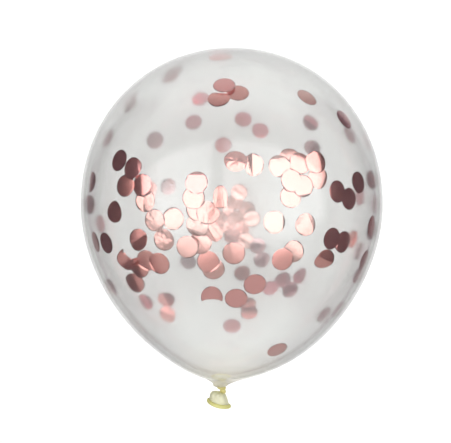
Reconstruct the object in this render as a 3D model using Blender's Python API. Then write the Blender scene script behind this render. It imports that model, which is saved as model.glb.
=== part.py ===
"""Knotted latex party balloon, lying on its side: metres, +Z up, crown towards +Y.

The bag, funnel, knot, flared tail and rolled lip are one moulding, so they end as one solid.
The origin is on the small flat spot that the balloon rests on, under its widest ring.
"""

import math

import bmesh
import bpy
from mathutils import Matrix, Vector

# Bag, measured along the axis from its widest ring
BAG_RADIUS = 0.1525
CROWN_HEIGHT = 0.1580
CROWN_FULLNESS = 2.06
BAG_DEPTH = 0.1744
BAG_END_RADIUS = 0.0280
BAG_END_SLOPE = 2.9
SIDE_FULLNESS = 0.41
SHOULDER_FULLNESS = 0.43

# Funnel into the neck, which leans to one side
FUNNEL_LENGTH = 0.0102
FUNNEL_FULLNESS = 0.75
NECK_RADIUS = 0.0072
NECK_LEAN = 0.0115
LEAN_LENGTH = 0.0646
LEAN_POWER = 4.2
GATHER_LENGTH = 0.0020

# Flat spot that keeps the balloon from rolling
FLAT_DEPTH = 0.0025

# Knot: a loop of rolled latex drawn tight round a core
KNOT_HEIGHT = 0.0072
KNOT_CORE_RADIUS = 0.0030
KNOT_CORE_REACH = 0.0009
KNOT_LOOP_RADIUS = 0.0026
KNOT_ROLL_RADIUS = 0.0019
KNOT_TILT = math.radians(38)
KNOT_OFFSET = 0.0017

# Tail: a small bell that flares from the knot to a rolled lip
TAIL_LENGTH = 0.0136
TAIL_TILT = math.radians(15)
TAIL_SEAT = 0.0007
TAIL_TOP_RADIUS = 0.0030
TAIL_SHOULDER_RADIUS = 0.0098
TAIL_WAIST_RADIUS = 0.0088
TAIL_WAIST_PLACE = 0.6
TAIL_SWAY = 0.0026
TAIL_WALL = 0.0007
TAIL_FLOOR = 0.0045
TAIL_PLEATS = 7
TAIL_PLEAT_DEPTH = 0.0007
LIP_RADIUS = 0.0111
LIP_ROLL_RADIUS = 0.0019
LIP_ROLL_START = math.radians(150)
LIP_ROLL_TURN = math.radians(330)

# Fineness of the rounds
BAG_SIDES = 64
CROWN_RINGS = 14
BAG_RINGS = 16
FUNNEL_RINGS = 6
TAIL_SIDES = 42
TAIL_RINGS = 7
LIP_STEPS = 8
ROLL_SIDES = 10
KNOT_SIDES = 18
WELD_GAP = 0.00002
SHARP_ANGLE = math.radians(40)

LATEX_COLOUR = (0.86, 0.86, 0.82, 1.0)
LATEX_ROUGHNESS = 0.25


def clear_scene():
    for obj in list(bpy.data.objects):
        bpy.data.objects.remove(obj)


def latex_material():
    mat = bpy.data.materials.new("clear_latex")
    mat.use_nodes = True
    shader = mat.node_tree.nodes["Principled BSDF"]
    shader.inputs["Base Color"].default_value = LATEX_COLOUR
    shader.inputs["Roughness"].default_value = LATEX_ROUGHNESS
    shader.inputs["Metallic"].default_value = 0.0
    return mat


def bezier(points, t):
    """Point on a cubic curve through its four control points."""
    a, b, c, d = (Vector(p) for p in points)
    s = 1 - t
    return a * s**3 + b * 3 * s * s * t + c * 3 * s * t * t + d * t**3


def bag_profile():
    """(distance below the widest ring, radius) from under the crown to the gathered neck."""
    rows = []
    for step in range(1, CROWN_RINGS + 1):
        angle = math.pi / 2 * (1 - step / CROWN_RINGS)
        height = CROWN_HEIGHT * math.sin(angle) ** (2 / CROWN_FULLNESS)
        radius = BAG_RADIUS * math.cos(angle) ** (2 / CROWN_FULLNESS)
        rows.append((-height, radius))
    fall = Vector((1, -BAG_END_SLOPE)).normalized()
    widest = Vector((0, BAG_RADIUS))
    bag_end = Vector((BAG_DEPTH, BAG_END_RADIUS))
    side_handle = widest + Vector((BAG_DEPTH * SIDE_FULLNESS, 0))
    shoulder_handle = bag_end - fall * BAG_DEPTH * SHOULDER_FULLNESS
    curve = (widest, side_handle, shoulder_handle, bag_end)
    rows += [tuple(bezier(curve, step / BAG_RINGS)) for step in range(1, BAG_RINGS + 1)]
    neck = Vector((BAG_DEPTH + FUNNEL_LENGTH, NECK_RADIUS))
    throat_handle = bag_end + fall * FUNNEL_LENGTH * FUNNEL_FULLNESS
    neck_handle = neck - Vector((FUNNEL_LENGTH * (1 - FUNNEL_FULLNESS), 0))
    curve = (bag_end, throat_handle, neck_handle, neck)
    rows += [tuple(bezier(curve, step / FUNNEL_RINGS)) for step in range(1, FUNNEL_RINGS + 1)]
    knot_top = BAG_DEPTH + FUNNEL_LENGTH + GATHER_LENGTH
    rows.append((knot_top - GATHER_LENGTH / 3, (NECK_RADIUS + KNOT_CORE_RADIUS) / 2))
    rows.append((knot_top, KNOT_CORE_RADIUS))
    return rows


def lean(depth):
    """Sideways shift of the ring at this depth below the widest ring."""
    above_neck = BAG_DEPTH + FUNNEL_LENGTH - depth
    share = 1 - above_neck / LEAN_LENGTH
    return -NECK_LEAN * min(max(share, 0), 1) ** LEAN_POWER


def add_ring(bm, centre, across, upward, radii):
    """Ring of vertices round a centre, one for each radius."""
    ring = []
    for index, radius in enumerate(radii):
        angle = 2 * math.pi * index / len(radii)
        outward = across * math.cos(angle) + upward * math.sin(angle)
        ring.append(bm.verts.new(centre + outward * radius))
    return ring


def bridge(bm, rings):
    for first, second in zip(rings, rings[1:]):
        count = len(first)
        for i in range(count):
            j = (i + 1) % count
            bm.faces.new((first[i], first[j], second[j], second[i]))


def close_end(bm, ring, tip):
    for i in range(len(ring)):
        bm.faces.new((ring[i], tip, ring[(i + 1) % len(ring)]))


def object_from(bm, name):
    bmesh.ops.recalc_face_normals(bm, faces=bm.faces)
    mesh = bpy.data.meshes.new(name)
    bm.to_mesh(mesh)
    bm.free()
    obj = bpy.data.objects.new(name, mesh)
    bpy.context.collection.objects.link(obj)
    return obj


def axis_height():
    return BAG_RADIUS - FLAT_DEPTH


def make_bag():
    """Bag and funnel as rings along -Y, with the flat spot cut on its underside."""
    bm = bmesh.new()
    across = Vector((1, 0, 0))
    upward = Vector((0, 0, 1))
    crown = bm.verts.new((0, CROWN_HEIGHT, axis_height()))
    rings = []
    for depth, radius in bag_profile():
        centre = Vector((lean(depth), -depth, axis_height()))
        rings.append(add_ring(bm, centre, across, upward, [radius] * BAG_SIDES))
    close_end(bm, rings[0], crown)
    bridge(bm, rings)
    bm.faces.new(rings[-1])
    geometry = bm.verts[:] + bm.edges[:] + bm.faces[:]
    bmesh.ops.bisect_plane(bm, geom=geometry, plane_co=(0, 0, 0), plane_no=(0, 0, -1), clear_outer=True)
    rim = [edge for edge in bm.edges if edge.is_boundary]
    bmesh.ops.contextual_create(bm, geom=rim)
    return object_from(bm, "latex_balloon")


def knot_centre():
    depth = BAG_DEPTH + FUNNEL_LENGTH + GATHER_LENGTH / 2 + KNOT_HEIGHT / 2
    return Vector((-NECK_LEAN + KNOT_OFFSET, -depth, axis_height()))


def make_knot_core():
    bpy.ops.mesh.primitive_uv_sphere_add(segments=KNOT_SIDES, ring_count=KNOT_SIDES // 2)
    core = bpy.context.object
    half_length = KNOT_HEIGHT / 2 + KNOT_CORE_REACH
    stretch = Matrix.Diagonal((KNOT_CORE_RADIUS, half_length, KNOT_CORE_RADIUS, 1))
    core.data.transform(Matrix.Translation(knot_centre()) @ stretch)
    return core


def make_knot_loop():
    """Rolled loop round the core, tilted from upper left to lower right."""
    bpy.ops.mesh.primitive_torus_add(
        major_segments=KNOT_SIDES,
        minor_segments=ROLL_SIDES,
        major_radius=KNOT_LOOP_RADIUS,
        minor_radius=KNOT_ROLL_RADIUS,
    )
    loop = bpy.context.object
    lay = Matrix.Rotation(math.pi / 2, 4, "X")
    tilt = Matrix.Rotation(-KNOT_TILT, 4, "Z")
    loop.data.transform(Matrix.Translation(knot_centre()) @ tilt @ lay)
    return loop


def tail_frame():
    """Tail's top, its axis away from the knot, and its two cross directions."""
    top = knot_centre() - Vector((0, KNOT_HEIGHT / 2 - TAIL_SEAT, 0))
    outward = Vector((-math.sin(TAIL_TILT), -math.cos(TAIL_TILT), 0))
    upward = Vector((0, 0, 1))
    return top, outward, outward.cross(upward), upward


def bell_length():
    """Distance from the tail's top to the centre of the rolled lip."""
    return TAIL_LENGTH - LIP_ROLL_RADIUS


def tail_profile(inset):
    """(distance from the tail's top, radius) of the bell, drawn in by the inset."""
    span = bell_length()
    neck = Vector((0, TAIL_TOP_RADIUS))
    brim = Vector((span, LIP_RADIUS - LIP_ROLL_RADIUS / 2))
    neck_handle = Vector((0, TAIL_SHOULDER_RADIUS))
    brim_handle = Vector((span * TAIL_WAIST_PLACE, TAIL_WAIST_RADIUS))
    curve = (neck, neck_handle, brim_handle, brim)
    rows = [bezier(curve, step / TAIL_RINGS) for step in range(TAIL_RINGS + 1)]
    return [(row.x, row.y - inset) for row in rows]


def sway(distance):
    """Sideways shift of the bell's middle, none at its top and at its lip."""
    return TAIL_SWAY * math.sin(math.pi * math.sqrt(distance / bell_length()))


def pleated(radius, distance):
    """Radii round one ring of the tail, with pleats that fade towards the lip."""
    fade = 1 - distance / bell_length()
    radii = []
    for index in range(TAIL_SIDES):
        wave = math.cos(2 * math.pi * TAIL_PLEATS * index / TAIL_SIDES)
        radii.append(radius + TAIL_PLEAT_DEPTH * fade * wave)
    return radii


def make_tail():
    """Bell with a rolled lip and an open mouth."""
    top, outward, across, upward = tail_frame()
    bm = bmesh.new()
    rings = []
    lip_top = bell_length() - LIP_ROLL_RADIUS
    wall = [row for row in tail_profile(0) if row[0] < lip_top]
    for distance, radius in wall:
        centre = top + outward * distance + across * sway(distance)
        rings.append(add_ring(bm, centre, across, upward, pleated(radius, distance)))
    for step in range(LIP_STEPS + 1):
        angle = LIP_ROLL_START - LIP_ROLL_TURN * step / LIP_STEPS
        distance = bell_length() - LIP_ROLL_RADIUS * math.sin(angle)
        radius = LIP_RADIUS + LIP_ROLL_RADIUS * math.cos(angle)
        rings.append(add_ring(bm, top + outward * distance, across, upward, [radius] * TAIL_SIDES))
    lining = [row for row in tail_profile(TAIL_WALL) if TAIL_FLOOR < row[0] < lip_top]
    for distance, radius in reversed(lining):
        centre = top + outward * distance + across * sway(distance)
        rings.append(add_ring(bm, centre, across, upward, pleated(radius, distance)))
    bridge(bm, rings)
    bm.faces.new(rings[0])
    bm.faces.new(rings[-1])
    return object_from(bm, "tail")


def unite(body, other):
    joint = body.modifiers.new("join_" + other.name, "BOOLEAN")
    joint.operation = "UNION"
    joint.solver = "EXACT"
    joint.object = other
    bpy.context.view_layer.objects.active = body
    bpy.ops.object.modifier_apply(modifier=joint.name)
    bpy.data.objects.remove(other)


def finish(body):
    """Weld the slivers left by the joins, then shade the rounds smooth."""
    bm = bmesh.new()
    bm.from_mesh(body.data)
    bmesh.ops.remove_doubles(bm, verts=bm.verts, dist=WELD_GAP)
    bmesh.ops.recalc_face_normals(bm, faces=bm.faces)
    bm.to_mesh(body.data)
    bm.free()
    body.data.shade_smooth()
    body.data.set_sharp_from_angle(angle=SHARP_ANGLE)
    body.data.materials.clear()
    body.data.materials.append(latex_material())


def main():
    clear_scene()
    balloon = make_bag()
    unite(balloon, make_knot_core())
    unite(balloon, make_knot_loop())
    unite(balloon, make_tail())
    finish(balloon)


main()
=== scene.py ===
import math
import random

import bmesh
import bpy
from mathutils import Matrix, Vector, noise
from mathutils.bvhtree import BVHTree


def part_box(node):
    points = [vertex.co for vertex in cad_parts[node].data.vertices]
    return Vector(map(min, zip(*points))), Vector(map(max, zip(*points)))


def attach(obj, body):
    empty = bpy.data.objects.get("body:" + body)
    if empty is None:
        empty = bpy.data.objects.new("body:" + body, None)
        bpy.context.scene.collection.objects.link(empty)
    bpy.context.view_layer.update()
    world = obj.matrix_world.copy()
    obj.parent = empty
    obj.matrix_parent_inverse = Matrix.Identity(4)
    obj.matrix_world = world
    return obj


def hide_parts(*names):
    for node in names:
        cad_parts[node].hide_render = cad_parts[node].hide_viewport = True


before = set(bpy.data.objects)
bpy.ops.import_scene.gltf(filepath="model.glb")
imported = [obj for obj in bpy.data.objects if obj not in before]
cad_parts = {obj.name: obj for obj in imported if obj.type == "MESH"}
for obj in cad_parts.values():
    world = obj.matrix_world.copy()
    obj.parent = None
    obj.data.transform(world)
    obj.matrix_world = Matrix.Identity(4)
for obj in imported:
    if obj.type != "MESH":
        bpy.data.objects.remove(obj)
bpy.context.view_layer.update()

millimetre = 0.001
boxLow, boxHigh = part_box("latex_balloon")
bagRadius = boxHigh.x
crownHeight = boxHigh.y
axisHeight = boxHigh.z - bagRadius


# Small helpers

def clamp01(value):
    return min(max(value, 0.0), 1.0)


def easeStep(low, high, value):
    share = clamp01((value - low) / (high - low))
    return share * share * (3 - 2 * share)


def bezierPoint(points, t):
    a, b, c, d = points
    s = 1 - t
    return a * s**3 + b * 3 * s * s * t + c * 3 * s * t * t + d * t**3


def makeObject(name, mesh):
    obj = bpy.data.objects.new(name, mesh)
    bpy.context.scene.collection.objects.link(obj)
    return obj


# Camera, straight over the balloon as it lies, with its crown at the top of the picture

photoWidth = 451            # pixels
camera = {
    "distance": 0.8785,     # from the balloon's axis
    "aside": -0.00615,      # from the axis, along X
    "along": -0.0169,       # from the widest ring, along Y
    "focalPixels": 857.0,   # focal length in pixels of the photograph
    "sensor": 36.0,
    "clipStart": 0.01,
}


def addCamera():
    data = bpy.data.cameras.new("studioCamera")
    data.sensor_width = camera["sensor"]
    data.lens = camera["focalPixels"] / photoWidth * camera["sensor"]
    data.clip_start = camera["clipStart"]
    cam = bpy.data.objects.new("studioCamera", data)
    cam.location = (camera["aside"], camera["along"], axisHeight + camera["distance"])
    bpy.context.scene.collection.objects.link(cam)
    bpy.context.scene.camera = cam


addCamera()
print("camera placed")


# Shader helpers

def newFinish(name):
    finish = bpy.data.materials.new(name)
    finish.use_nodes = True
    finish.node_tree.nodes.clear()
    return finish, finish.node_tree.nodes, finish.node_tree.links


def setValues(node, **values):
    for socket, value in values.items():
        node.inputs[socket.replace("_", " ")].default_value = value


def addRamp(nodes, stops):
    ramp = nodes.new("ShaderNodeValToRGB")
    points = ramp.color_ramp.elements
    while len(points) < len(stops):
        points.new(1.0)
    for point, (place, colour) in zip(points, stops):
        point.position = place
        point.color = (*colour, 1)
    return ramp


def addMath(nodes, links, operation, first, second=None, third=None):
    node = nodes.new("ShaderNodeMath")
    node.operation = operation
    for socket, value in zip(node.inputs, (first, second, third)):
        if value is None:
            continue
        if isinstance(value, (int, float)):
            socket.default_value = value
        else:
            links.new(value, socket)
    return node.outputs[0]


# Bag and funnel: a thin skin with an outer and an inner face

bag = {
    "crownFullness": 2.06,
    "depth": 0.1744,            # widest ring to the end of the bag
    "endRadius": 0.0280,
    "endSlope": 2.9,
    "sideFullness": 0.41,
    "shoulderFullness": 0.43,
    "funnelLength": 0.0102,
    "funnelFullness": 0.75,
    "neckRadius": 0.0072,
    "gatherLength": 0.0020,
    "gatherRadius": 0.0028,
    "gatherRows": (0.35, 0.7, 1.0),
    "lean": 0.0115,             # neck's shift to the left
    "leanLength": 0.0646,
    "leanPower": 4.2,
    "skin": 0.00030,            # thickness of the latex
    "restBlend": 0.0012,        # soft edge of the flat spot
    "pleats": 23,               # folds drawn into the knot
    "pleatDepth": 0.00032,
    "pleatReach": 0.012,
    "pleatDrift": 3,            # how unevenly the folds are spaced
    "driftSize": 3.1,
    "sides": 160,
    "crownRings": 44,
    "bagRings": 60,
    "funnelRings": 14,
}


def bagRows():
    rows = []
    for step in range(1, bag["crownRings"] + 1):
        angle = math.pi / 2 * (1 - step / bag["crownRings"])
        height = crownHeight * math.sin(angle) ** (2 / bag["crownFullness"])
        radius = bagRadius * math.cos(angle) ** (2 / bag["crownFullness"])
        rows.append((-height, radius))
    fall = Vector((1, -bag["endSlope"])).normalized()
    widest = Vector((0, bagRadius))
    bagEnd = Vector((bag["depth"], bag["endRadius"]))
    sideHandle = widest + Vector((bag["depth"] * bag["sideFullness"], 0))
    shoulderHandle = bagEnd - fall * bag["depth"] * bag["shoulderFullness"]
    curve = (widest, sideHandle, shoulderHandle, bagEnd)
    count = bag["bagRings"]
    rows += [tuple(bezierPoint(curve, step / count)) for step in range(1, count + 1)]
    length = bag["funnelLength"]
    neck = Vector((bag["depth"] + length, bag["neckRadius"]))
    throatHandle = bagEnd + fall * length * bag["funnelFullness"]
    neckHandle = neck - Vector((length * (1 - bag["funnelFullness"]), 0))
    curve = (bagEnd, throatHandle, neckHandle, neck)
    count = bag["funnelRings"]
    rows += [tuple(bezierPoint(curve, step / count)) for step in range(1, count + 1)]
    for share in bag["gatherRows"]:
        drawnIn = bag["gatherRadius"] + (bag["neckRadius"] - bag["gatherRadius"]) * (1 - share**2)
        rows.append((neck.x + bag["gatherLength"] * share, drawnIn))
    return rows


def bagLean(depth):
    above = bag["depth"] + bag["funnelLength"] - depth
    return -bag["lean"] * clamp01(1 - above / bag["leanLength"]) ** bag["leanPower"]


def restOnFloor(height):
    # eases from lying flat into the round
    soft = max(bag["restBlend"] - abs(height), 0.0) / bag["restBlend"]
    return max(height, 0.0) + soft * soft * bag["restBlend"] / 4


def bagPoint(depth, radius, angle):
    neck = bag["depth"] + bag["funnelLength"]
    reach = easeStep(neck - bag["pleatReach"], neck, depth)
    drift = noise.noise(Vector((math.cos(angle), math.sin(angle), 0)) * bag["driftSize"])
    fold = math.cos(bag["pleats"] * angle + bag["pleatDrift"] * drift)
    radius += bag["pleatDepth"] * reach * fold
    x = bagLean(depth) + radius * math.cos(angle)
    z = axisHeight + radius * math.sin(angle)
    return Vector((x, -depth, restOnFloor(z)))


def addBagFace(bm, points, crown):
    rings = [[bm.verts.new(p) for p in ring] for ring in points]
    tip = bm.verts.new(crown)
    count = bag["sides"]
    for i in range(count):
        bm.faces.new((rings[0][i], tip, rings[0][(i + 1) % count]))
    for first, second in zip(rings, rings[1:]):
        for i in range(count):
            j = (i + 1) % count
            bm.faces.new((first[i], first[j], second[j], second[i]))
    bm.faces.new(rings[-1])
    return rings, tip


def makeSkin():
    bm = bmesh.new()
    points = []
    turns = [2 * math.pi * i / bag["sides"] for i in range(bag["sides"])]
    for depth, radius in bagRows():
        points.append([bagPoint(depth, radius, turn) for turn in turns])
    rings, tip = addBagFace(bm, points, Vector((0, crownHeight, axisHeight)))
    bmesh.ops.recalc_face_normals(bm, faces=bm.faces)
    bm.normal_update()
    inner = [[v.co - v.normal * bag["skin"] for v in ring] for ring in rings]
    innerTip = tip.co - tip.normal * bag["skin"]
    outerFaces = set(bm.faces)
    addBagFace(bm, inner, innerTip)
    lining = [face for face in bm.faces if face not in outerFaces]
    bmesh.ops.recalc_face_normals(bm, faces=lining)
    bmesh.ops.reverse_faces(bm, faces=lining)
    mesh = bpy.data.meshes.new("balloonSkin")
    bm.to_mesh(mesh)
    bm.free()
    mesh.shade_smooth()
    return makeObject("balloonSkin", mesh)


clearLatex = {
    "tint": (0.970, 0.973, 0.967),
    "neckTint": (0.99, 0.98, 0.935),
    "roughness": 0.07,
    "hazeRoughness": 0.50,
    "rimTint": (0.86, 0.863, 0.86),
    "neckRimTint": (0.975, 0.965, 0.915),
    "rimBlend": 0.12,
    "haze": (0.14, 0.20),       # milky share, least and most
    "neckMilk": 0.45,           # how much of the funnel's end is milky
    "neckColour": (0.99, 0.975, 0.89),
    "ior": (1.5, 1.12),         # in the bag and at the neck
    "neckStart": -0.150,        # along Y, where the tints start to change and end
    "neckEnd": -0.186,
    "iorStart": -0.165,
    "iorEnd": -0.182,
    "milkStart": -0.168,
    "streakStretch": (1.0, 0.22, 1.0),
    "streakSize": 26.0,
    "streakRange": (0.3, 0.7),  # noise that gives the least and the most haze
    "bump": 0.06,
    "bumpDistance": 0.001,
}


def makeLatexFinish():
    finish, nodes, links = newFinish("clearLatex")
    place = nodes.new("ShaderNodeTexCoord")
    split = nodes.new("ShaderNodeSeparateXYZ")
    links.new(place.outputs["Object"], split.inputs[0])
    along = nodes.new("ShaderNodeMapRange")
    setValues(along, From_Min=clearLatex["neckStart"], From_Max=clearLatex["neckEnd"])
    links.new(split.outputs["Y"], along.inputs["Value"])
    tint = addRamp(nodes, [(0.0, clearLatex["tint"]), (1.0, clearLatex["neckTint"])])
    links.new(along.outputs[0], tint.inputs[0])
    # at a slant there is more latex to look through
    slant = nodes.new("ShaderNodeLayerWeight")
    slant.inputs["Blend"].default_value = clearLatex["rimBlend"]
    glass = nodes.new("ShaderNodeMix")
    glass.data_type = "RGBA"
    links.new(slant.outputs["Facing"], glass.inputs[0])
    links.new(tint.outputs[0], glass.inputs[6])
    rimTint = addRamp(nodes, [(0.0, clearLatex["rimTint"]), (1.0, clearLatex["neckRimTint"])])
    links.new(along.outputs[0], rimTint.inputs[0])
    links.new(rimTint.outputs[0], glass.inputs[7])
    # streaks drawn out along the balloon's length as the latex stretches
    stretch = nodes.new("ShaderNodeMapping")
    setValues(stretch, Scale=clearLatex["streakStretch"])
    links.new(place.outputs["Object"], stretch.inputs["Vector"])
    streaks = nodes.new("ShaderNodeTexNoise")
    setValues(streaks, Scale=clearLatex["streakSize"], Detail=5.0, Roughness=0.55)
    links.new(stretch.outputs[0], streaks.inputs["Vector"])
    haze = nodes.new("ShaderNodeMapRange")
    setValues(haze, From_Min=clearLatex["streakRange"][0], From_Max=clearLatex["streakRange"][1])
    setValues(haze, To_Min=clearLatex["haze"][0], To_Max=clearLatex["haze"][1])
    links.new(streaks.outputs["Fac"], haze.inputs["Value"])
    bump = nodes.new("ShaderNodeBump")
    setValues(bump, Strength=clearLatex["bump"], Distance=clearLatex["bumpDistance"])
    links.new(streaks.outputs["Fac"], bump.inputs["Height"])
    sharp = nodes.new("ShaderNodeBsdfGlass")
    setValues(sharp, Roughness=clearLatex["roughness"])
    milky = nodes.new("ShaderNodeBsdfGlass")
    setValues(milky, Roughness=clearLatex["hazeRoughness"])
    bending = nodes.new("ShaderNodeMapRange")
    setValues(bending, From_Min=clearLatex["iorStart"], From_Max=clearLatex["iorEnd"])
    setValues(bending, To_Min=clearLatex["ior"][0], To_Max=clearLatex["ior"][1])
    links.new(split.outputs["Y"], bending.inputs["Value"])
    for shader in (sharp, milky):
        links.new(bending.outputs[0], shader.inputs["IOR"])
        links.new(glass.outputs[2], shader.inputs["Color"])
        links.new(bump.outputs[0], shader.inputs["Normal"])
    mix = nodes.new("ShaderNodeMixShader")
    links.new(haze.outputs[0], mix.inputs[0])
    links.new(sharp.outputs[0], mix.inputs[1])
    links.new(milky.outputs[0], mix.inputs[2])
    gathered = nodes.new("ShaderNodeBsdfTranslucent")
    gathered.inputs["Color"].default_value = (*clearLatex["neckColour"], 1)
    thicker = nodes.new("ShaderNodeMapRange")
    thicker.interpolation_type = "SMOOTHSTEP"
    setValues(thicker, From_Min=clearLatex["milkStart"], From_Max=clearLatex["neckEnd"])
    setValues(thicker, To_Max=clearLatex["neckMilk"])
    links.new(split.outputs["Y"], thicker.inputs["Value"])
    blend = nodes.new("ShaderNodeMixShader")
    links.new(thicker.outputs[0], blend.inputs[0])
    links.new(mix.outputs[0], blend.inputs[1])
    links.new(gathered.outputs[0], blend.inputs[2])
    output = nodes.new("ShaderNodeOutputMaterial")
    links.new(blend.outputs[0], output.inputs["Surface"])
    return finish


skin = makeSkin()
skin.data.materials.append(makeLatexFinish())
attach(skin, "root")
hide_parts("latex_balloon")
print("bag blown up")


# Knot, flared tail and rolled lip: the same latex, unstretched and so thicker and yellower

knot = {
    "height": 0.0072,
    "shift": 0.0017,            # back towards the axis from the neck's lean
    "coreRadius": 0.0021,
    "coreReach": 0.0009,        # how far the core runs past each end
    "coreEnds": 0.62,           # share of its radius left there
    "coreSteps": 24,
    "coreSides": 28,
    "coilSteps": 60,
    "coilSides": 18,
    "coilStart": 0.42,          # turns before its top at which a coil begins
    "coilEnds": (0.35, 0.55),   # share of its loop and of its roll left at its ends
    "coilTuck": 0.35,           # lower is a more sudden tuck
    "coilSwell": (0.06, 9),     # how much its thickness varies, and how often
    "voxel": 0.00020,
    "relaxShare": 0.5,
    "relaxSteps": 2,
}

knotCoils = [
    # collar under the funnel: shift, radii of its loop and roll, turns, drop on the way and tilt in degrees
    {
        "aside": -0.0006, "along": 0.0019, "loop": 0.0035, "roll": 0.0015,
        "turns": 1.15, "climb": 0.0005, "tilt": 7,
    },
    # round knob beside it
    {
        "aside": 0.0012, "along": -0.0010, "loop": 0.0018, "roll": 0.0018,
        "turns": 1.30, "climb": 0.0010, "tilt": 34,
    },
]

tail = {
    "seat": 0.0007,             # how far the tail reaches up into the knot
    "length": 0.01325,
    "tilt": math.radians(15),
    "topRadius": 0.0030,
    "shoulderRadius": 0.0091,
    "waistRadius": 0.0104,
    "waistPlace": 0.6,
    "sway": 0.0024,             # bell's shift to the left, above its lip
    "swayPower": 0.42,          # lower puts it nearer to the knot
    "wall": 0.0006,
    "innerTop": 0.0012,         # where the pocket inside ends
    "innerRadius": 0.0004,
    "lipRadius": 0.0111,
    "rollRadius": 0.0019,
    "rollSeat": 0.8,            # share of it that covers the bell's end
    "rollStart": 145,           # degrees
    "rollTurn": 320,
    "pleats": 9,
    "pleatDepth": 0.0007,
    "pleatShare": (0.65, 0.7),  # evenness and unevenness of the depth
    "pleatDrift": 2.4,
    "pleatFade": 1.3,           # how fast the folds fade towards the lip
    "pleatStart": 0.1,          # share of the length over which they begin
    "ripple": 0.00022,
    "rippleSize": (2.5, 260),   # around and along
    "unevenSize": 1.7,
    "unevenPlace": 5,           # picks another unevenness
    "warp": 0.00025,            # unevenness of the lip
    "warpTurn": 0.8,
    "bow": 0.0013,              # how far the lip's near and far sides hang past its ends
    "layer": (0.25, 0.3, 1.0),  # thickness that tints the bell, its inside and the lip, 0 to 1
    "topLayer": (0.2, 0.2),     # what the bell's top adds, and over which share of its length
    "sides": 132,
    "rings": 26,
    "rollSteps": 18,
}


def knotCentre():
    depth = bag["depth"] + bag["funnelLength"] + (bag["gatherLength"] + knot["height"]) / 2
    return Vector((knot["shift"] - bag["lean"], -depth, axisHeight))


def addTube(bm, path, radii, sides):
    rings = []
    across = None
    for i, centre in enumerate(path):
        ahead = path[min(i + 1, len(path) - 1)] - path[max(i - 1, 0)]
        ahead.normalize()
        across = across - ahead * across.dot(ahead) if across else ahead.orthogonal()
        across.normalize()
        up = ahead.cross(across)
        ring = []
        for j in range(sides):
            turn = 2 * math.pi * j / sides
            ring.append(bm.verts.new(centre + (across * math.cos(turn) + up * math.sin(turn)) * radii[i]))
        rings.append(ring)
    for first, second in zip(rings, rings[1:]):
        for i in range(sides):
            j = (i + 1) % sides
            bm.faces.new((first[i], first[j], second[j], second[i]))
    bm.faces.new(rings[0])
    bm.faces.new(rings[-1])


def keepShape(obj):
    # turns what the modifiers make into the object's own mesh
    shaped = bpy.data.meshes.new_from_object(obj.evaluated_get(bpy.context.evaluated_depsgraph_get()))
    obj.modifiers.clear()
    obj.data = shaped


def addCoil(bm, coil):
    steps = knot["coilSteps"]
    endLoop, endRoll = knot["coilEnds"]
    swell, swellTurn = knot["coilSwell"]
    path, widths = [], []
    for i in range(steps + 1):
        share = i / steps
        turn = 2 * math.pi * (coil["turns"] * share - knot["coilStart"])
        tuck = math.sin(math.pi * share) ** knot["coilTuck"]
        radius = coil["loop"] * (endLoop + (1 - endLoop) * tuck)
        climb = coil["climb"] * (0.5 - share)
        path.append(Vector((radius * math.sin(turn), climb, radius * math.cos(turn))))
        width = coil["roll"] * (endRoll + (1 - endRoll) * tuck)
        widths.append(width * (1 + swell * math.sin(swellTurn * share)))
    tilt = Matrix.Rotation(-math.radians(coil["tilt"]), 3, "Z")
    shift = Vector((coil["aside"], coil["along"], 0))
    addTube(bm, [tilt @ p + shift for p in path], widths, knot["coilSides"])


def makeKnot():
    bm = bmesh.new()
    half = knot["height"] / 2 + knot["coreReach"]
    steps, ends = knot["coreSteps"], knot["coreEnds"]
    core = [Vector((0, half * (1 - 2 * i / steps), 0)) for i in range(steps + 1)]
    bulge = [math.sin(math.pi * i / steps) for i in range(steps + 1)]
    widths = [knot["coreRadius"] * (ends + (1 - ends) * share) for share in bulge]
    addTube(bm, core, widths, knot["coreSides"])
    for coil in knotCoils:
        addCoil(bm, coil)
    bmesh.ops.recalc_face_normals(bm, faces=bm.faces)
    bmesh.ops.translate(bm, verts=bm.verts, vec=knotCentre())
    mesh = bpy.data.meshes.new("knot")
    bm.to_mesh(mesh)
    bm.free()
    obj = makeObject("knot", mesh)
    melt = obj.modifiers.new("melt", "REMESH")
    melt.mode = "VOXEL"
    melt.voxel_size = knot["voxel"]
    relax = obj.modifiers.new("relax", "SMOOTH")
    relax.factor = knot["relaxShare"]
    relax.iterations = knot["relaxSteps"]
    keepShape(obj)
    obj.data.name = "knot"
    obj.data.shade_smooth()
    return obj


def tailFrame():
    top = knotCentre() - Vector((0, knot["height"] / 2 - tail["seat"], 0))
    outward = Vector((-math.sin(tail["tilt"]), -math.cos(tail["tilt"]), 0))
    up = Vector((0, 0, 1))
    return top, outward, outward.cross(up), up


def tailRows(inset):
    span = tail["length"] - tail["rollRadius"]
    top = Vector((0, tail["topRadius"]))
    brim = Vector((span, tail["lipRadius"] - tail["rollRadius"] / 2))
    topHandle = Vector((0, tail["shoulderRadius"]))
    brimHandle = Vector((span * tail["waistPlace"], tail["waistRadius"]))
    curve = (top, topHandle, brimHandle, brim)
    count = tail["rings"]
    rows = [bezierPoint(curve, step / count) for step in range(count + 1)]
    return [(row.x, max(row.y - inset, tail["innerRadius"])) for row in rows]


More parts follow.
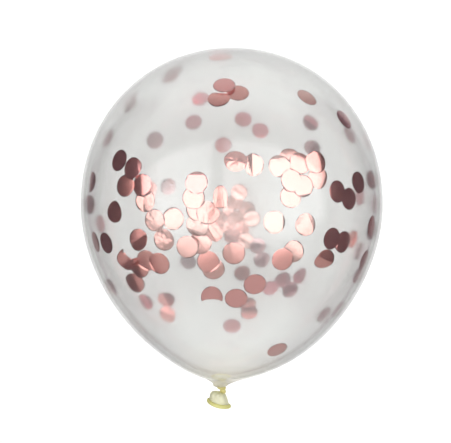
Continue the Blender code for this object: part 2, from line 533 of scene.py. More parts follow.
def tailPoint(distance, radius, turn):
    top, outward, across, up = tailFrame()
    span = tail["length"] - tail["rollRadius"]
    share = clamp01(distance / span)
    side = Vector((math.cos(turn), math.sin(turn), 0))
    uneven = noise.noise(side * tail["unevenSize"] + Vector((0, 0, tail["unevenPlace"])))
    even, loose = tail["pleatShare"]
    depth = tail["pleatDepth"] * (even + loose * uneven) * (1 - share) ** tail["pleatFade"]
    fold = math.cos(tail["pleats"] * turn + tail["pleatDrift"] * uneven)
    radius += depth * fold * easeStep(0, tail["pleatStart"], share)
    around, down = tail["rippleSize"]
    radius += tail["ripple"] * noise.noise(Vector((side.x * around, side.y * around, distance * down)))
    shift = across * tail["sway"] * math.sin(math.pi * share ** tail["swayPower"])
    warp = tail["warp"] * math.sin(2 * turn + tail["warpTurn"]) + tail["bow"] * math.sin(turn) ** 2
    centre = top + outward * (distance + warp * share) + shift
    return centre + (across * math.cos(turn) + up * math.sin(turn)) * radius


def makeTail():
    bm = bmesh.new()
    thick = bm.verts.layers.float.new("thickness")
    span = tail["length"] - tail["rollRadius"]
    lipTop = span - tail["rollRadius"] * tail["rollSeat"]
    bell, inside, lip = tail["layer"]
    extra, reach = tail["topLayer"]
    outside = [(d, r) for d, r in tailRows(0) if d < lipTop]
    profile = [(d, r, bell + extra * (1 - easeStep(0, reach, d / span))) for d, r in outside]
    for step in range(tail["rollSteps"] + 1):
        angle = math.radians(tail["rollStart"] - tail["rollTurn"] * step / tail["rollSteps"])
        down = span - tail["rollRadius"] * math.sin(angle)
        out = tail["lipRadius"] + tail["rollRadius"] * math.cos(angle)
        profile.append((down, out, lip))
    lining = reversed(tailRows(tail["wall"]))
    profile += [(d, r, inside) for d, r in lining if tail["innerTop"] < d < lipTop]
    rings = []
    turns = [2 * math.pi * i / tail["sides"] for i in range(tail["sides"])]
    for distance, radius, thickness in profile:
        ring = [bm.verts.new(tailPoint(distance, radius, turn)) for turn in turns]
        for v in ring:
            v[thick] = thickness
        rings.append(ring)
    for first, second in zip(rings, rings[1:]):
        for i in range(tail["sides"]):
            j = (i + 1) % tail["sides"]
            bm.faces.new((first[i], first[j], second[j], second[i]))
    bm.faces.new(rings[0])
    bm.faces.new(rings[-1])
    bmesh.ops.recalc_face_normals(bm, faces=bm.faces)
    mesh = bpy.data.meshes.new("tail")
    bm.to_mesh(mesh)
    bm.free()
    mesh.shade_smooth()
    return makeObject("tail", mesh)


neckLatex = {
    "thin": (0.93, 0.93, 0.85),
    "thick": (0.77, 0.75, 0.36),
    "knotColour": (0.84, 0.79, 0.43),
    "roughness": 0.38,
    "glow": 0.45,               # share of the light that comes through scattered
    "clear": (0.45, 0.12),      # share that comes through softly, thin and thick
    "clearRange": (0.2, 0.8),
    "tintRange": (0.15, 0.85),  # thickness at which the tint is thin or thick
    "grainSize": 420.0,
    "grainShare": 0.3,          # how much the grain sways the tint
    "bump": 0.25,
    "bumpDistance": 0.0004,
    "softRoughness": 0.45,
    "softIor": 1.2,
}


def makeNeckFinish(name, thin, thick):
    finish, nodes, links = newFinish(name)
    place = nodes.new("ShaderNodeTexCoord")
    grain = nodes.new("ShaderNodeTexNoise")
    setValues(grain, Scale=neckLatex["grainSize"], Detail=3.0, Roughness=0.55)
    links.new(place.outputs["Object"], grain.inputs["Vector"])
    layer = nodes.new("ShaderNodeAttribute")
    layer.attribute_name = "thickness"
    share = neckLatex["grainShare"]
    drift = addMath(nodes, links, "MULTIPLY_ADD", grain.outputs["Fac"], share, -share / 2)
    depth = addMath(nodes, links, "ADD", layer.outputs["Fac"], drift)
    start, end = neckLatex["tintRange"]
    tint = addRamp(nodes, [(start, thin), (end, thick)])
    links.new(depth, tint.inputs[0])
    bump = nodes.new("ShaderNodeBump")
    setValues(bump, Strength=neckLatex["bump"], Distance=neckLatex["bumpDistance"])
    links.new(grain.outputs["Fac"], bump.inputs["Height"])
    body = nodes.new("ShaderNodeBsdfPrincipled")
    setValues(body, Roughness=neckLatex["roughness"], IOR=1.5)
    links.new(tint.outputs[0], body.inputs["Base Color"])
    links.new(bump.outputs[0], body.inputs["Normal"])
    through = nodes.new("ShaderNodeBsdfTranslucent")
    links.new(tint.outputs[0], through.inputs["Color"])
    links.new(bump.outputs[0], through.inputs["Normal"])
    mix = nodes.new("ShaderNodeMixShader")
    mix.inputs[0].default_value = neckLatex["glow"]
    links.new(body.outputs[0], mix.inputs[1])
    links.new(through.outputs[0], mix.inputs[2])
    soft = nodes.new("ShaderNodeBsdfGlass")
    setValues(soft, Roughness=neckLatex["softRoughness"], IOR=neckLatex["softIor"])
    links.new(tint.outputs[0], soft.inputs["Color"])
    clear = nodes.new("ShaderNodeMapRange")
    setValues(clear, From_Min=neckLatex["clearRange"][0], From_Max=neckLatex["clearRange"][1])
    setValues(clear, To_Min=neckLatex["clear"][0], To_Max=neckLatex["clear"][1])
    links.new(depth, clear.inputs["Value"])
    blend = nodes.new("ShaderNodeMixShader")
    links.new(clear.outputs[0], blend.inputs[0])
    links.new(mix.outputs[0], blend.inputs[1])
    links.new(soft.outputs[0], blend.inputs[2])
    output = nodes.new("ShaderNodeOutputMaterial")
    links.new(blend.outputs[0], output.inputs["Surface"])
    return finish


knotPiece = makeKnot()
knotPiece.data.materials.append(makeNeckFinish("knotLatex", neckLatex["knotColour"], neckLatex["thick"]))
tailPiece = makeTail()
tailPiece.data.materials.append(makeNeckFinish("tailLatex", neckLatex["thin"], neckLatex["thick"]))
for piece in (knotPiece, tailPiece):
    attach(piece, "root")
    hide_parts("latex_balloon")
print("neck knotted")


# Confetti: thin foil discs that cling to the inside of the skin.
# Each disc is (across, along, leanX, leanY, form, turn, tone). Across and along are millimetres
# from the middle of the widest ring, on the level of the balloon's axis, as the camera sees them.
# The leans turn a disc's face towards +X and +Y, and turn sets the direction of its bend or fold,
# all in degrees. Tone picks the foil's shade. A disc that comes earlier in its list lies nearer to
# the skin.

foil = {
    "radius": 0.0100,
    "thickness": 0.00008,
    "segments": 48,
    "rings": (0.18, 0.34, 0.49, 0.63, 0.75, 0.84, 0.90, 0.95, 1.0),
    "gap": 0.00016,             # air between a disc and what it touches
    "slantLimit": 0.25,         # cosine down to which the gap is kept in full
    "neighbours": 2.3,          # how near another disc is looked for, in radii
    "nudges": 3,                # tries to bring a disc back inside the skin
    "cling": 0.7,               # how far a disc follows the skin's curve
    "foldArch": 22.0,           # how much a tucked disc's fold curves, as 1 / metre
    "wave": 0.00008,
    "waveSize": 0.0075,
    "wrinkle": 0.00013,
    "wrinkleSize": 0.0030,
    "rimStart": 0.90,
    "rimShare": (0.8, -0.2),    # evenness and least share of the bent rim
    "edgeDrop": 0.00012,        # bent rim left by the punch
    "paintedShadeCover": (0.45, 1.9),   # how much of the rim gets the painted dark line, and how unevenly
    "frillSize": 0.0032,
    "nick": 0.00012,
    "nickSize": 5,
    "toneSpread": 0.03,
    "sharpAngle": math.radians(8),      # folds above it are shaded sharp
    "seed": 11,
}

frontConfetti = [
    # crown
    (-14, 154.5, 0, -3, "flat", 0, 0.5),
    (-7.5, 123, 0, 2, "flat", 0, 0.45),
    (-13, 109.5, 0, 6, "frilled", 80, 0.35),
    (6.5, 115, 0, 3, "flat", 0, 0.3),
    (77.5, 110.5, 0, 7, "flat", 0, 0.2),
    (115.5, 88, 0, 0, "flat", 0, 0.65),
    # upper left
    (-115.2, 45.8, 0, 0, "flat", 0, 0.5),
    (-102, 37.8, 0, 0, "frilled", 20, 0.45),
    (-109, 19.8, 6, 0, "flat", 0, 0.35),
    (-92.5, 20.5, 2.4, 0, "curled", 10, 0.4),
    (-88.5, 4.3, 2, 0, "dimpled", 60, 0.1),
    (-120.6, -6.9, 0, 0, "curled", 120, 0.4),
    (-143.8, 23.8, -4, 0, "curled", 0, 0.15),
    (-148.4, 0.5, 13, 0, "flat", 0, 0.35),
    # lower left
    (-139.4, -37.8, -6, 0, "flat", 0, 0.15),
    (-128.6, -39, 0, 0, "flat", 0, 0.5),
    (-94.9, -35.6, 6, 0, "dented", 300, 0.4),
    (-107, -56, 17, 0, "tucked", 50, 0.35),
    (-74.2, -60, 3, 0, "rimmed", 205, 0.35),
    (-87, -57, 8, 0, "rimmed", 240, 0.3),
    (-95, -64.5, 11, 0, "curled", 20, 0.35),
    (-99.4, -80, 13, 0, "curled", 10, 0.35),
    (-126, -86, 6, 0, "curled", 45, 0.15),
    # left of the middle
    (-36, 23.2, 0, 0, "frilled", 90, 0.45),
    (-39, 7.5, 0, 0, "wrinkled", 60, 0.2),
    (-11.5, 8.3, 0, 0, "petal", 5, 0.2),
    (-24.5, -8, 0, 0, "dimpled", 330, 0.25),
    (-35.5, -4.5, 0, 0, "dimpled", 200, 0.15),
    (-35, -20.5, 4, 0, "dimpled", 250, 0.0),
    (-19.2, -26.5, 8, 4, "petal", 40, 0.15),
    (-79, -15.6, -0.5, 0, "wrinkled", 300, 0.1),
    (-60, -14, 3, 2, "wrinkled", 120, 0.2),
    (-69.5, -35.5, -0.5, 5, "dimpled", 300, 0.05),
    (-45.3, -43, 0, 3, "flat", 0, 0.1),
    (-32, -39, 9, 3, "frilled", 80, 0.1),
    (-24, -58.3, 0, 3, "rimmed", 310, 0.35),
    (-18.5, -65.8, 4, 3.8, "curled", 300, 0.15),
    (2.4, -49.6, 0, 1.5, "curled", 190, 0.2),
    # middle
    (4.3, 45.8, 0, 7.5, "sunken", 80, 0.35),
    (21.4, 41.4, 0, -3, "pleated", 180, 0.15),
    # right of the middle
    (86.9, 44, -8, -3, "curled", 0, 0.25),
    (61.8, 25.2, 0, 0, "flat", 0, 0.15),
    (49.4, 40.3, 0, -2, "frilled", 100, 0.1),
    (70.5, 43, -3, -3, "frilled", 70, 0.25),
    (60, 47.4, 0, -3, "frilled", 100, 0.15),
    (73.5, 19.5, 0, 0, "wrinkled", 280, 0.15),
    (89, 28, -5, 0, "frilled", 330, 0.2),
    (60.8, 8.8, 0, 0, "flat", 0, 0.15),
    (44.2, -17.5, 0, 3, "wrinkled", 0, 0.05),
    (76.2, -20, -4.5, 3, "dimpled", 20, 0.1),
    (52.6, -55.8, 0, 3, "flat", 0, 0.35),
    (63.8, -47.6, -3, 4.8, "curled", 45, 0.0),
    # right flank
    (145, 26, -11, 0, "flat", 0, 0.4),
    (130.2, 23.3, 0, 0, "flat", 0, 0.45),
    (108.8, 13.8, 3, 0, "flat", 0, 0.45),
    (120.6, 6.4, 0, 0, "flat", 0, 0.5),
    (143.5, -21.5, 4, 0, "flat", 0, 0.4),
    (146, -26.5, -10, 0, "flat", 0, 0.1),
    (103, -34.5, 2, 0, "flat", 0, 0.45),
    (114.5, -38, 0, 0, "frilled", 180, 0.45),
    (96, -56.5, -5, 0, "creased", 250, 0.35),
    (136, -56.5, 1, 0, "flat", 0, 0.2),
    (133, -73, -7, 0, "flat", 0, 0.15),
    # lower front
    (24, -81.4, 0, 0, "flat", 0, 0.4),
    (4.8, -95.9, 0, 0, "flat", 0, 0.4),
    (-20, -93.2, 5, 0, "tucked", 270, 0.4),
    (47, -148.5, 0, 3, "flat", 0, 0.3),
    # under the disc at the crown
    (-8.5, 155, 0, -2, "flat", 0, 0.15),
]

heapConfetti = [
    (-3.5, -4, 0, 0, "petal", 10, 0.1),
    (16, -4, 1, -18, "crumpled", 30, 0.1),
    (3.5, 3, -4, -21, "dimpled", 70, 0.15),
    (8, 13, 4, 0, "curled", 60, 0.1),
    (-5.5, -21, 0, 0, "dimpled", 60, 0.1),
    (4.5, -14, 3, -18, "dimpled", 200, 0.1),
    (12.4, -24, 0, -15, "pleated", 0, 0.15),
    (-14, -13, -8, -13, "curled", 30, 0.05),
    (21, -14, 8, 0, "curled", 100, 0.0),
    (0.5, -32, 0, 11, "crumpled", 10, 0.3),
    (15, -37, 3, 0, "creased", 60, 0.0),
    (27, -42.5, 0, 12, "crumpled", 80, 1.0),
    (31.5, -56.5, 0, 10, "crumpled", 0, 1.0),
    (11, -70, 0, 4, "crumpled", 20, 0.2),
    (-44.5, -58, 0, 7, "flat", 0, 1.0),
]

backConfetti = [
    # upper back
    (-63, 131, 0, 0, "flat", 0, 0.9),
    (-59, 137.5, 0, 0, "flat", 0, 1.0),
    (-104, 102.5, 8, 0, "flat", 0, 1.0),
    (-103, 109.5, 8, 0, "flat", 0, 1.0),
    (-127, 68.5, 0, 0, "flat", 0, 1.0),
    (-32, 109, 0, 0, "flat", 0, 0.75),
    (-39, 85, 0, 0, "flat", 0, 0.85),
    (12, 88, 0, 0, "flat", 0, 0.7),
    (29.5, 77, 0, 0, "curled", 80, 0.65),
    (81.5, 85, 0, 0, "curled", 45, 0.7),
    (121.5, 72, 0, -8, "flat", 0, 0.95),
    (140, 65, 0, 0, "flat", 0, 0.9),
    (-78.5, 66.5, -12, 7, "flat", 0, 1.0),
    (-8.5, 61.5, 0, 0, "flat", 0, 0.6),
    (83, 58.5, 9, 0, "curled", 120, 0.95),
    # sides
    (-65, 19, 0, -4, "flat", 0, 1.0),
    (-84.5, 16.5, -4, 0, "flat", 0, 0.3),
    (-134.5, -19.5, 0, 0, "flat", 0, 0.8),
    (131.5, 8.5, -2, 0, "flat", 0, 0.65),
    (147.5, 1, 0, 0, "flat", 0, 1.0),
    (124, -35, 0, 0, "flat", 0, 0.35),
    (130.5, -47.5, -8, 0, "flat", 0, 0.85),
    # low
    (53, -77, 0, 0, "curled", 45, 0.8),
    (71, -73, 0, 8, "creased", 30, 0.7),
    (60, -87, 0, 0, "dimpled", 100, 0.9),
    (40, -85, 0, 8, "flat", 0, 0.65),
    (-88.5, -99.5, 0, 0, "curled", 0, 0.7),
    (-67.5, -97.5, -4, 6, "creased", 0, 0.4),
    (-66, -113, 0, -4, "creased", 60, 0.4),
    (95, -113, 0, 0, "flat", 0, 1.0),
    (110, -107.5, 0, 0, "flat", 0, 1.0),
    (17, -102.5, 0, 3, "crumpled", 0, 0.35),
    (18, -110.5, 0, 0, "curled", 90, 0.4),
    (0.5, -124, 0, 0, "flat", 0, 0.6),
]


# Each form is (folds, curl, wrinkles, frill). A fold is (direction, offset, bend): radians from the
# disc's turn, a share of its radius and degrees away from the skin. Curl is the radius of the bend
# across the whole disc, in metres. A pair in place of a number is a range to draw from.

foilForms = {
    "flat": ([], (0.204, 0.476), 0.0, 1.0),
    "curled": ([], 0.034, 0.25, 1.0),
    "rimmed": ([(0, 0.78, -22)], 0.272, 0.1, 1.0),
    "frilled": ([(0, 0.66, 22)], 0.068, 0.5, 3.5),
    "wrinkled": ([(0, 0.74, 17.6)], 0.204, 0.9, 1.5),
    "sunken": ([(0, 0.18, 13.64)], 0.170, 2.2, 1.5),
    "creased": ([(0, (-0.1, 0.1), 22)], 0.136, 0.2, 1.0),
    "dented": ([(0, (-0.1, 0.1), -22)], 0.136, 0.2, 1.0),
    "dimpled": ([(0, 0.5, 7.7), (2.1, (0.2, 0.6), -6.6)], 0.102, 1.3, 2.0),
    "crumpled": (
        [(0, 0.45, 19.8), (2.1, (0.2, 0.7), (-11, 13.2)), (4.2, (0.2, 0.7), (-11, 13.2))],
        0.068, 1.4, 2.0,
    ),
    "pleated": ([(0, 0.0, 39.6), (0.2, 0.26, -39.6)], 0.204, 0.4, 1.2),
    # a strip down the middle stands out, with a sharp edge on each side
    "petal": (
        [
            (0, 0.2, 48.4), (0, 0.24, -37.4),
            (math.pi * 0.94, 0.2, 48.4), (math.pi * 0.94, 0.24, -37.4),
        ],
        -0.051, 0.5, 1.5,
    ),
    # folded under, with a bowed fold
    "tucked": ([(0, 0.35, 165)], -0.021, 0.2, 1.0),
}


def draw(value, dice):
    return dice.uniform(*value) if isinstance(value, tuple) else value


def foilBends(form, turn, dice):
    # the form's folds, curl, wrinkles and frill for one disc, in metres and radians
    folds, curl, wrinkles, frill = foilForms[form]
    bends = []
    for direction, offset, bend in folds:
        offset = foil["radius"] * draw(offset, dice)
        bends.append((turn + direction, offset, math.radians(draw(bend, dice))))
    return bends, draw(curl, dice), wrinkles, frill


def foilSheet(form, turn, dice):
    # one disc as a sheet of rings, cut along its creases and then bent away from the skin
    bm = bmesh.new()
    edge = bm.verts.layers.float.new("paintedEdgeShade")
    count = foil["segments"]
    middle = bm.verts.new((0, 0, 0))
    previous = None
    drift = Vector((dice.uniform(0, 90), dice.uniform(0, 90), dice.uniform(0, 90)))
    for share in foil["rings"]:
        ring = []
        for i in range(count):
            angle = 2 * math.pi * i / count
            side = Vector((math.cos(angle), math.sin(angle), 0))
            nick = foil["nick"] * share**6 * abs(noise.noise(side * foil["nickSize"] + drift))
            reach = foil["radius"] * share - nick
            ring.append(bm.verts.new(side * reach))
        for i in range(count):
            j = (i + 1) % count
            if previous is None:
                bm.faces.new((middle, ring[i], ring[j]))
            else:
                bm.faces.new((previous[i], ring[i], ring[j], previous[j]))
        previous = ring
    creases, curl, wrinkles, frill = foilBends(form, turn, dice)
    for direction, offset, _ in creases:
        across = Vector((math.cos(direction), math.sin(direction), 0))
        geometry = bm.verts[:] + bm.edges[:] + bm.faces[:]
        bmesh.ops.bisect_plane(bm, geom=geometry, plane_co=across * offset, plane_no=across, dist=1e-6)
    bow = turn + math.pi / 2 if form in ("tucked", "petal") else turn
    along = Vector((math.cos(bow), math.sin(bow), 0))
    cover, loose = foil["paintedShadeCover"]
    even, least = foil["rimShare"]
    for v in bm.verts:
        flat = Vector((v.co.x, v.co.y, 0))
        spread = flat.length
        height = foil["wave"] * noise.noise(flat / foil["waveSize"] + drift)
        height += foil["wrinkle"] * wrinkles * noise.noise(flat / foil["wrinkleSize"] + drift)
        rim = clamp01((spread / foil["radius"] - foil["rimStart"]) / (1 - foil["rimStart"]))
        uneven = noise.noise(flat / foil["frillSize"] + drift)
        # painted shade: a dark line along the rim, standing in for shade where discs overlap and for the
        # edge mirroring dark surroundings
        v[edge] = clamp01(rim * 2) * clamp01(cover + loose * uneven)
        height -= foil["edgeDrop"] * rim * max(even + frill * uneven, least)
        height -= foil["cling"] * spread * spread / (2 * bagRadius)
        reach = flat.dot(along)
        height -= curl * (1 - math.cos(reach / curl))
        v.co = flat + along * (curl * math.sin(reach / curl) - reach)
        v.co.z = height
    for direction, offset, bend in creases:
        across = Vector((math.cos(direction), math.sin(direction), 0))
        for v in bm.verts:
            past = v.co.dot(across) - offset
            if past > 0:
                height = v.co.z
                v.co += across * (past * math.cos(bend) - past)
                v.co.z = height * math.cos(bend) - past * math.sin(bend)
    if form == "tucked":
        across = Vector((math.cos(turn), math.sin(turn), 0))
        for v in bm.verts:
            reach = v.co.dot(across)
            beside = v.co.x * across.y - v.co.y * across.x
            v.co += across * (foil["foldArch"] * beside**2 * clamp01(reach / creases[0][1]))
    return bm


def closeSheet(bm, turnTo, flip):
    # gives the sheet its back face and rim, and turns it to lie in the scene
    paintedEdgeShade = bm.verts.layers.float["paintedEdgeShade"]
    edgeShadeValues = [v[paintedEdgeShade] for v in bm.verts] * 2
    bm.verts.index_update()
    count = len(bm.verts)
    fronts = [turnTo @ Vector((v.co.x, v.co.y, v.co.z * flip)) for v in bm.verts]
    drop = turnTo @ Vector((0, 0, foil["thickness"]))
    faces = []
    for face in bm.faces:
        corners = [v.index for v in face.verts]
        faces.append(corners)
        faces.append([c + count for c in reversed(corners)])
    for edge in bm.edges:
        if edge.is_boundary:
            loop = edge.link_loops[0]
            a, b = loop.vert.index, loop.link_loop_next.vert.index
            faces.append([b, a, a + count, b + count])
    bm.free()
    return fronts + [p - drop for p in fronts], faces, edgeShadeValues


eye = bpy.context.scene.camera.location.copy()
wall = BVHTree.FromObject(skin, bpy.context.evaluated_depsgraph_get())
bagMiddle = Vector((0, 0, axisHeight))


def roomAhead(points, tree, heading):
    # how far the points can move along the heading before one of them meets the tree
    room = [math.inf]
    for point in points:
        _, facing, _, distance = tree.ray_cast(point, heading)
        if distance is not None:
            room.append(distance - foil["gap"] / max(abs(facing.dot(heading)), foil["slantLimit"]))
    return min(room)


def wayBack(points):
    # the shift that brings the point furthest outside the skin back in
    push = Vector()
    for point in points:
        nearest, facing, _, distance = wall.find_nearest(point)
        if facing.dot(nearest - bagMiddle) > 0 and distance + bag["skin"] > push.length:
            push = nearest - point - facing * (bag["skin"] + foil["gap"])
    return push


def makeConfetti(name, entries, front):
    dice = random.Random(foil["seed"])
    points, faces, tones, edgeShadeValues, settled = [], [], [], [], []
    for across, along, leanX, leanY, form, turn, tone in entries:
        spot = Vector((across * millimetre, along * millimetre, axisHeight))
        heading = (eye - spot).normalized() if front else (spot - eye).normalized()
        facing = wall.ray_cast(spot, heading)[1]
        if facing.z < 0:
            facing.negate()
        lean = Matrix.Rotation(math.radians(leanX), 3, "Y") @ Matrix.Rotation(-math.radians(leanY), 3, "X")
        facing = lean @ facing
        side = Vector((0, 1, 0)).cross(facing).normalized()
        turnTo = Matrix((side, facing.cross(side), facing)).transposed()
        sheet = foilSheet(form, math.radians(turn), dice)
        shape, corners, discEdgeShade = closeSheet(sheet, turnTo, 1 if front else -1)
        shape = [spot + p for p in shape]
        room = roomAhead(shape, wall, heading)
        own = BVHTree.FromPolygons(shape, corners)
        for otherSpot, otherTree, otherShape in settled:
            if (otherSpot - spot).length < foil["neighbours"] * foil["radius"]:
                room = min(room, roomAhead(shape, otherTree, heading), roomAhead(otherShape, own, -heading))
        shape = [p + heading * room for p in shape]
        for _ in range(foil["nudges"]):
            push = wayBack(shape)
            shape = [p + push for p in shape]
        settled.append((spot, BVHTree.FromPolygons(shape, corners), shape))
        start = len(points)
        points += shape
        faces += [[start + c for c in corner] for corner in corners]
        tones += [clamp01(tone + dice.uniform(-foil["toneSpread"], foil["toneSpread"]))] * len(shape)
        edgeShadeValues += discEdgeShade
    mesh = bpy.data.meshes.new(name)
    mesh.from_pydata(points, [], faces)
    # discTone holds the foil's shade of colour; the second attribute holds the painted dark line along the
    # disc rims
    for layer, values in (("discTone", tones), ("paintedEdgeShade", edgeShadeValues)):
        mesh.attributes.new(layer, "FLOAT", "POINT").data.foreach_set("value", values)
    mesh.shade_smooth()
    mesh.set_sharp_from_angle(angle=foil["sharpAngle"])
    return makeObject(name, mesh)


roseGold = {
    "shades": [
        (0.0, (0.70, 0.45, 0.41)),      # champagne
        (0.35, (0.86, 0.41, 0.37)),     # copper pink
        (0.7, (0.80, 0.36, 0.40)),      # mauve
        (1.0, (0.68, 0.48, 0.49)),      # silver pink
    ],
    "paintedEdgeShade": (0.13, 0.06, 0.075),     # painted dark line along the disc rims, standing in for shade between overlapping discs and dark reflections at the edge
    "roughness": 0.09,
    "grainSize": 260.0,
    "grain": 0.10,
    "grainDistance": 0.0006,
}


def makeFoilFinish():
    finish, nodes, links = newFinish("roseGoldFoil")
    place = nodes.new("ShaderNodeTexCoord")
    layer = nodes.new("ShaderNodeAttribute")
    layer.attribute_name = "discTone"
    tint = addRamp(nodes, roseGold["shades"])
    links.new(layer.outputs["Fac"], tint.inputs[0])
    # painted shade: this attribute mixes a dark line into the foil's colour along the disc rims, for shade
    # where discs overlap and the edge's dark reflection
    rim = nodes.new("ShaderNodeAttribute")
    rim.attribute_name = "paintedEdgeShade"
    colour = nodes.new("ShaderNodeMix")
    colour.data_type = "RGBA"
    links.new(rim.outputs["Fac"], colour.inputs[0])
    links.new(tint.outputs[0], colour.inputs[6])
    colour.inputs[7].default_value = (*roseGold["paintedEdgeShade"], 1)
    grain = nodes.new("ShaderNodeTexNoise")
    setValues(grain, Scale=roseGold["grainSize"], Detail=4.0, Roughness=0.6)
    links.new(place.outputs["Object"], grain.inputs["Vector"])
    bump = nodes.new("ShaderNodeBump")
    setValues(bump, Strength=roseGold["grain"], Distance=roseGold["grainDistance"])
    links.new(grain.outputs["Fac"], bump.inputs["Height"])
    body = nodes.new("ShaderNodeBsdfPrincipled")
    setValues(body, Metallic=1.0, Roughness=roseGold["roughness"])
    links.new(colour.outputs[2], body.inputs["Base Color"])
    links.new(bump.outputs[0], body.inputs["Normal"])
    output = nodes.new("ShaderNodeOutputMaterial")
    links.new(body.outputs[0], output.inputs["Surface"])
    return finish


foilFinish = makeFoilFinish()
for name, entries, front in (
    ("confettiFront", frontConfetti, True),
    ("confettiBack", heapConfetti + backConfetti, False),
):
    discs = makeConfetti(name, entries, front)
    discs.data.materials.append(foilFinish)
    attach(discs, "root")
print("confetti dropped in")


# Stage: pale round table top and a soft studio around it

# A band is (from, to, softness at from, softness at to). Its ends are degrees from straight up,
# towards +X or +Y, or else X, Y or Z of the direction, where 2.0 or -2.0 means no end.

stage = {
    "tableRadius": 0.27,
    "tableSides": 96,
    "tableDrop": 0.0002,              # air under the balloon
    "tableColour": (0.50, 0.50, 0.50),
    "tableGlow": 0.56,
    "softBox": 2.85,
    "softBoxSide": (-62.0, 69.0, 8.0, 7.0),     # towards +X
    "softBoxAlong": (-27.0, 40.0, 14.0, 4.0),   # towards +Y
    "gap": 0.90,                      # between the two lamps of the soft box
    "gapSide": (-16.0, -6.0, 3.0, 3.0),
    "room": 0.70,                     # the rest of the studio
    "flank": 0.075,                   # dark screens to the left and right
    "flankSide": (66.0, 130.0, 5.0, 9.0),       # to either side
    "flankX": (0.60, 2.0, 0.12, 0.1),
    "upper": 0.15,                    # dark screen beyond the crown
    "upperAlong": (46.0, 70.0, 5.0, 9.0),
    "upperY": (0.45, 2.0, 0.2, 0.1),
    "under": (1.05, 0.70),            # below the horizon, at the far end and the near end
    "underZ": (-2.0, 0.0, 0.1, 0.05),
    "nearY": (-2.0, 0.2, 0.1, 0.2),
    "skirt": 0.36,                    # shaded strip below the near edge of the table
    "skirtZ": (-0.73, -0.63, 0.02, 0.03),
    "dim": (1.0, 0.50, 0.70),         # tint of the dimmest light
    "dimRange": (0.05, 0.6),          # strengths at which the tint is full and gone
    "backdrop": 1.05,                 # what is seen behind and through the balloon
}


def addTable():
    bm = bmesh.new()
    bmesh.ops.create_circle(bm, cap_ends=True, segments=stage["tableSides"], radius=stage["tableRadius"])
    bmesh.ops.translate(bm, verts=bm.verts, vec=(0, 0, -stage["tableDrop"]))
    mesh = bpy.data.meshes.new("tableTop")
    bm.to_mesh(mesh)
    bm.free()
    table = makeObject("tableTop", mesh)
    finish, nodes, links = newFinish("tablePaint")
    paint = nodes.new("ShaderNodeBsdfPrincipled")
    setValues(paint, Base_Color=(*stage["tableColour"], 1), Roughness=1.0, Specular_IOR_Level=0.0)
    setValues(paint, Emission_Color=(1, 1, 1, 1), Emission_Strength=stage["tableGlow"])
    output = nodes.new("ShaderNodeOutputMaterial")
    links.new(paint.outputs[0], output.inputs["Surface"])
    mesh.materials.append(finish)


def addBand(nodes, links, value, band):
    # 1 inside the band and 0 outside
    low, high, lowSoft, highSoft = band
    rise = nodes.new("ShaderNodeMapRange")
    rise.interpolation_type = "SMOOTHSTEP"
    setValues(rise, From_Min=low - lowSoft, From_Max=low + lowSoft)
    links.new(value, rise.inputs["Value"])
    drop = nodes.new("ShaderNodeMapRange")
    drop.interpolation_type = "SMOOTHSTEP"
    setValues(drop, From_Min=high + highSoft, From_Max=high - highSoft)
    links.new(value, drop.inputs["Value"])
    return addMath(nodes, links, "MULTIPLY", rise.outputs[0], drop.outputs[0])


def addBlend(nodes, links, share, first, second):
    mix = nodes.new("ShaderNodeMix")
    for socket, value in zip(mix.inputs[0:1] + mix.inputs[2:4], (share, first, second)):
        if isinstance(value, (int, float)):
            socket.default_value = value
        else:
            links.new(value, socket)
    return mix.outputs[0]


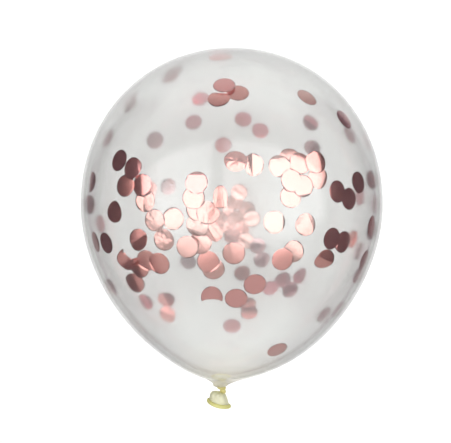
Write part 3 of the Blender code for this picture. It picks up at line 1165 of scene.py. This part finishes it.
def addStudio():
    world = bpy.data.worlds.new("softStudio")
    bpy.context.scene.world = world
    world.use_nodes = True
    nodes, links = world.node_tree.nodes, world.node_tree.links
    nodes.clear()
    place = nodes.new("ShaderNodeTexCoord")
    split = nodes.new("ShaderNodeSeparateXYZ")
    links.new(place.outputs["Generated"], split.inputs[0])
    side = addMath(nodes, links, "ARCTAN2", split.outputs["X"], split.outputs["Z"])
    side = addMath(nodes, links, "DEGREES", side)
    turned = addMath(nodes, links, "ABSOLUTE", side)
    along = addMath(nodes, links, "ARCTAN2", split.outputs["Y"], split.outputs["Z"])
    along = addMath(nodes, links, "DEGREES", along)
    below = addBand(nodes, links, split.outputs["Z"], stage["underZ"])
    nearEnd = addBand(nodes, links, split.outputs["Y"], stage["nearY"])
    light = addBlend(nodes, links, below, stage["room"], addBlend(nodes, links, nearEnd, *stage["under"]))
    hem = addBand(nodes, links, split.outputs["Z"], stage["skirtZ"])
    light = addBlend(nodes, links, addMath(nodes, links, "MULTIPLY", hem, nearEnd), light, stage["skirt"])
    aside = addBand(nodes, links, addMath(nodes, links, "ABSOLUTE", split.outputs["X"]), stage["flankX"])
    flank = addBand(nodes, links, turned, stage["flankSide"])
    light = addBlend(nodes, links, addMath(nodes, links, "MULTIPLY", flank, aside), light, stage["flank"])
    beyond = addBand(nodes, links, split.outputs["Y"], stage["upperY"])
    upper = addBand(nodes, links, along, stage["upperAlong"])
    light = addBlend(nodes, links, addMath(nodes, links, "MULTIPLY", upper, beyond), light, stage["upper"])
    across = addBand(nodes, links, side, stage["softBoxSide"])
    length = addBand(nodes, links, along, stage["softBoxAlong"])
    box = addMath(nodes, links, "MULTIPLY", across, length)
    gap = addBand(nodes, links, side, stage["gapSide"])
    lamps = addBlend(nodes, links, gap, stage["softBox"], stage["gap"])
    light = addBlend(nodes, links, box, light, lamps)
    # rays that come straight or through the skin see the backdrop, reflected ones the studio
    path = nodes.new("ShaderNodeLightPath")
    bounced = addMath(nodes, links, "ADD", path.outputs["Glossy Depth"], path.outputs["Diffuse Depth"])
    seen = addMath(nodes, links, "LESS_THAN", bounced, 0.5)
    strength = addBlend(nodes, links, seen, light, stage["backdrop"])
    start, end = stage["dimRange"]
    tint = addRamp(nodes, [(start, stage["dim"]), (end, (1, 1, 1))])
    links.new(strength, tint.inputs[0])
    background = nodes.new("ShaderNodeBackground")
    links.new(tint.outputs[0], background.inputs["Color"])
    links.new(strength, background.inputs["Strength"])
    output = nodes.new("ShaderNodeOutputWorld")
    links.new(background.outputs[0], output.inputs["Surface"])


addTable()
addStudio()
bpy.context.scene.view_settings.view_transform = "Standard"
print("studio lit")
